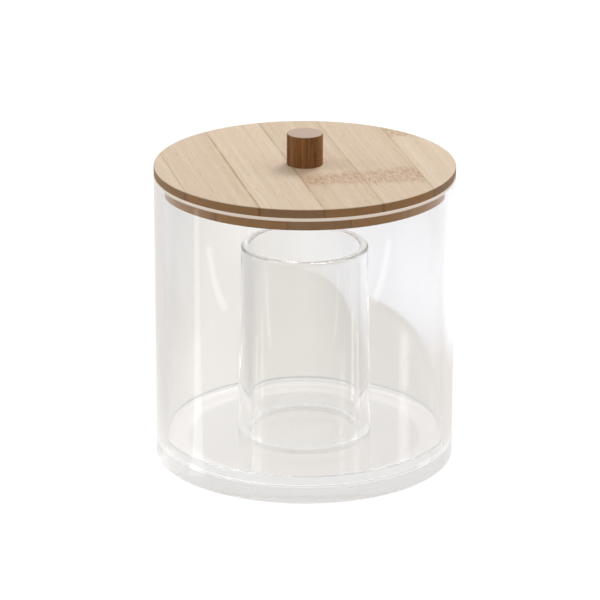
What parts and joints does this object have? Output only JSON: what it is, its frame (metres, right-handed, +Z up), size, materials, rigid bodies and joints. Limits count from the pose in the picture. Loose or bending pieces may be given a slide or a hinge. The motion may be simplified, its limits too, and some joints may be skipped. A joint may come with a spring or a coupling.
{
  "type": "makeup organizer",
  "caption": "Round clear canister with a thick base, a clear tube standing in its middle and a lift-off bamboo lid with a knob, for cotton buds and small cosmetics.",
  "frame": {"origin": "middle of the underside of the base", "axes": "+Z up along the canister's axis, Y along the lid's bamboo strips; the picture looks along +Y turned 13 degrees towards +X"},
  "size_m": [0.1, 0.1, 0.1119],
  "materials": {
    "clear_acrylic": "clear, polished",
    "bamboo_board": "pale carbonised bamboo, sanded and lightly oiled, edge-glued strips",
    "bamboo_plug": "bamboo, sanded",
    "bamboo_knob": "bamboo, turned, grain along the knob",
    "screw_steel": "zinc plated"
  },
  "bodies": {
    "canister": {"canister_base": "clear_acrylic", "floor_plate": "clear_acrylic", "canister_wall": "clear_acrylic", "inner_tube": "clear_acrylic"},
    "lid": {"board_strip_1": "bamboo_board", "board_strip_2": "bamboo_board", "board_strip_3": "bamboo_board", "board_strip_4": "bamboo_board", "board_strip_5": "bamboo_board", "board_strip_6": "bamboo_board", "plug_strip_1": "bamboo_plug", "plug_strip_2": "bamboo_plug", "plug_strip_3": "bamboo_plug", "plug_strip_4": "bamboo_plug", "plug_strip_5": "bamboo_plug", "plug_strip_6": "bamboo_plug", "lid_knob": "bamboo_knob", "knob_screw": "screw_steel"}
  },
  "joints": [
    {"name": "lid_lift", "type": "slide", "parent": "canister", "child": "lid", "axis": [0, 0, 1], "range_m": [0, 0.04]}
  ]
}
